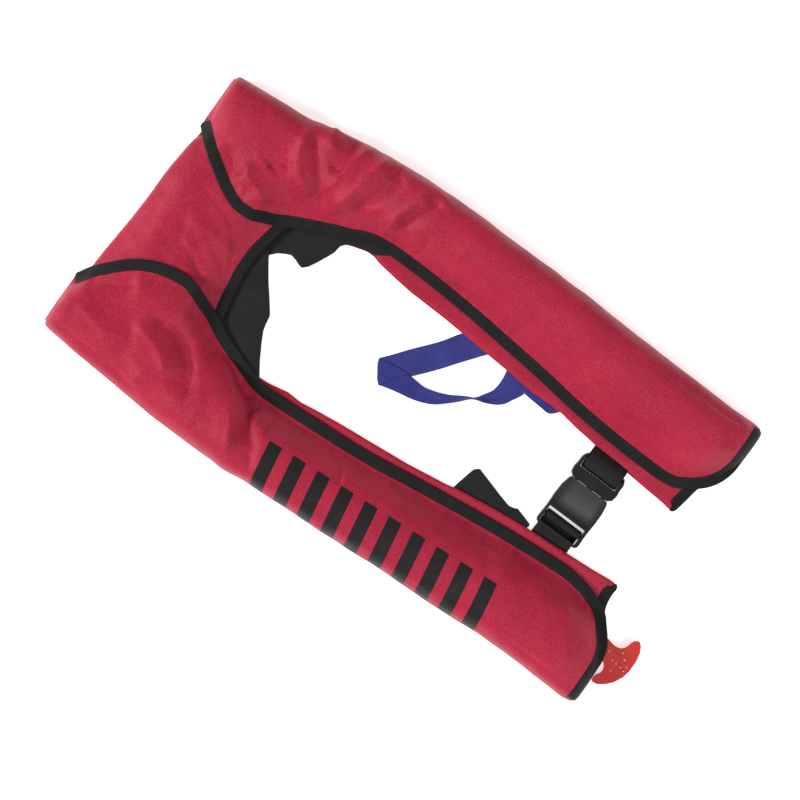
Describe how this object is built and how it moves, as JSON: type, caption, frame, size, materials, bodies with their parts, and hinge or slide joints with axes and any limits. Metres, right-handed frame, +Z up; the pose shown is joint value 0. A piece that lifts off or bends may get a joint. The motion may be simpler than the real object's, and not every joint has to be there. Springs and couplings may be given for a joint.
{
  "type": "inflatable life jacket",
  "caption": "Packed inflatable life jacket with a U-shaped bound nylon cover, hinged front flaps, webbing harness, side-release buckle, gas inflator and pull handle.",
  "frame": {"origin": "bottom centre of the bounding box, on the surface the jacket lies on", "axes": "+Z up through the front of the jacket as it lies on its back, +Y towards the neck, +X towards the wearer's left lobe"},
  "size_m": [0.3319, 0.635, 0.042],
  "materials": {
    "red_nylon": "woven nylon, soft sheen",
    "black_binding": "woven edge tape",
    "touch_fastener": "hook and loop",
    "bladder_cloth": "coated nylon, satin",
    "reflective": "retroreflective tape",
    "black_webbing": "ribbed polyester webbing",
    "blue_webbing": "ribbed polyester webbing",
    "black_plastic": "gloss acetal",
    "inflator_plastic": "satin acetal",
    "rubber_parts": "moulded rubber",
    "steel_cylinder": "zinc-plated steel",
    "steel_small": "plated steel",
    "brass_nut": "nickel-washed brass",
    "green_clip": "green indicator plastic",
    "red_plastic": "gloss moulded handle",
    "cord_red": "braided cord",
    "grey_plastic": "satin plastic",
    "valve_plastic": "satin plastic",
    "cap_plastic": "satin orange plastic",
    "whistle_plastic": "orange plastic"
  },
  "bodies": {
    "jacket": {"cover_back_panel": "red_nylon", "right_end_binding": "black_binding", "left_end_binding": "black_binding", "neck_cover": "red_nylon", "neck_binding": "black_binding", "left_hook_strip": "touch_fastener", "right_hook_strip": "touch_fastener", "bladder": "bladder_cloth", "reflective_tape": "reflective", "yoke_strap_left": "black_webbing", "yoke_strap_right": "black_webbing", "back_strap": "black_webbing", "waist_belt_right": "black_webbing", "waist_belt_left": "black_webbing", "belt_tail": "black_webbing", "lifting_strap": "blue_webbing", "co2_cylinder": "steel_cylinder", "inflator_body": "inflator_plastic", "manifold": "inflator_plastic", "manifold_gaskets": "rubber_parts", "inflator_nut": "brass_nut", "lever_pivot_pin": "steel_small", "pin_spring": "steel_small", "status_clip": "green_clip", "oral_tube_flange": "rubber_parts", "oral_tube": "rubber_parts", "oral_valve_housing": "valve_plastic", "valve_spring": "steel_small", "tube_clip": "inflator_plastic", "whistle": "whistle_plastic", "whistle_tab": "blue_webbing"},
    "left_flap_body": {"left_flap": "red_nylon", "left_flap_binding": "black_binding", "left_loop_strip": "touch_fastener"},
    "right_flap_body": {"right_flap": "red_nylon", "right_flap_binding": "black_binding", "right_loop_strip": "touch_fastener"},
    "socket_half": {"buckle_socket": "black_plastic"},
    "belt_plug": {"buckle_plug": "black_plastic"},
    "prong_upper": {"buckle_prong_upper": "black_plastic"},
    "prong_lower": {"buckle_prong_lower": "black_plastic"},
    "slider": {"tail_slider": "black_plastic"},
    "handle": {"pull_handle": "red_plastic", "pull_lanyard": "cord_red"},
    "lever": {"inflator_lever": "grey_plastic"},
    "pin": {"piercing_pin": "steel_small"},
    "mouth_cap": {"oral_cap": "cap_plastic"},
    "poppet": {"oral_valve_poppet": "valve_plastic"}
  },
  "joints": [
    {"name": "left_flap_open", "type": "hinge", "parent": "jacket", "child": "left_flap_body", "pos_m": [0.13987, 0.0035, 0.042], "axis": [0, 1, 0], "range_deg": [0, 165]},
    {"name": "right_flap_open", "type": "hinge", "parent": "jacket", "child": "right_flap_body", "pos_m": [-0.14713, 0.0035, 0.042], "axis": [0, -1, 0], "range_deg": [0, 165]},
    {"name": "buckle_lift", "type": "slide", "parent": "jacket", "child": "socket_half", "axis": [0, 0, 1], "range_m": [0, 0.05], "deforming": ["waist_belt_left", "waist_belt_right"]},
    {"name": "buckle_release", "type": "slide", "parent": "socket_half", "child": "belt_plug", "axis": [0.9994, -0.0349, 0], "range_m": [0, 0.03], "deforming": ["buckle_prong_upper", "buckle_prong_lower", "waist_belt_left", "waist_belt_right"]},
    {"name": "prong_squeeze", "type": "hinge", "parent": "belt_plug", "child": "prong_upper", "pos_m": [0.02034, -0.17556, 0.0062], "axis": [0, 0, 1], "range_deg": [0, 9], "stiffness_Nm_per_rad": 0.4},
    {"name": "prong_squeeze_lower", "type": "hinge", "parent": "belt_plug", "child": "prong_lower", "pos_m": [0.01937, -0.20354, 0.0062], "axis": [0, 0, -1], "range_deg": [0, 9], "stiffness_Nm_per_rad": 0.4},
    {"name": "tail_slide", "type": "slide", "parent": "jacket", "child": "slider", "axis": [0.2907, 0.9568, 0], "range_m": [-0.01, 0.03]},
    {"name": "handle_pull", "type": "slide", "parent": "jacket", "child": "handle", "axis": [-0.2599, -0.9656, 0], "range_m": [0, 0.03], "deforming": ["pull_lanyard"]},
    {"name": "lever_turn", "type": "hinge", "parent": "jacket", "child": "lever", "pos_m": [-0.11913, -0.2405, 0.022], "axis": [0, 0, -1], "range_deg": [0, 75]},
    {"name": "pin_stroke", "type": "slide", "parent": "jacket", "child": "pin", "axis": [0, 1, 0], "range_m": [0, 0.004], "deforming": ["pin_spring"]},
    {"name": "cap_off", "type": "slide", "parent": "jacket", "child": "mouth_cap", "axis": [0, 1, 0], "range_m": [0, 0.02]},
    {"name": "valve_press", "type": "slide", "parent": "jacket", "child": "poppet", "axis": [0, -1, 0], "range_m": [0, 0.003], "stiffness_N_per_m": 200, "deforming": ["valve_spring"]}
  ],
  "couplings": [
    {"joint": "buckle_release", "follows": "buckle_lift", "ratio": 0.6},
    {"joint": "lever_turn", "follows": "handle_pull", "rad_per_m": 43.6},
    {"joint": "pin_stroke", "follows": "handle_pull", "ratio": 0.1333},
    {"joint": "prong_squeeze_lower", "follows": "prong_squeeze", "ratio": 1}
  ]
}
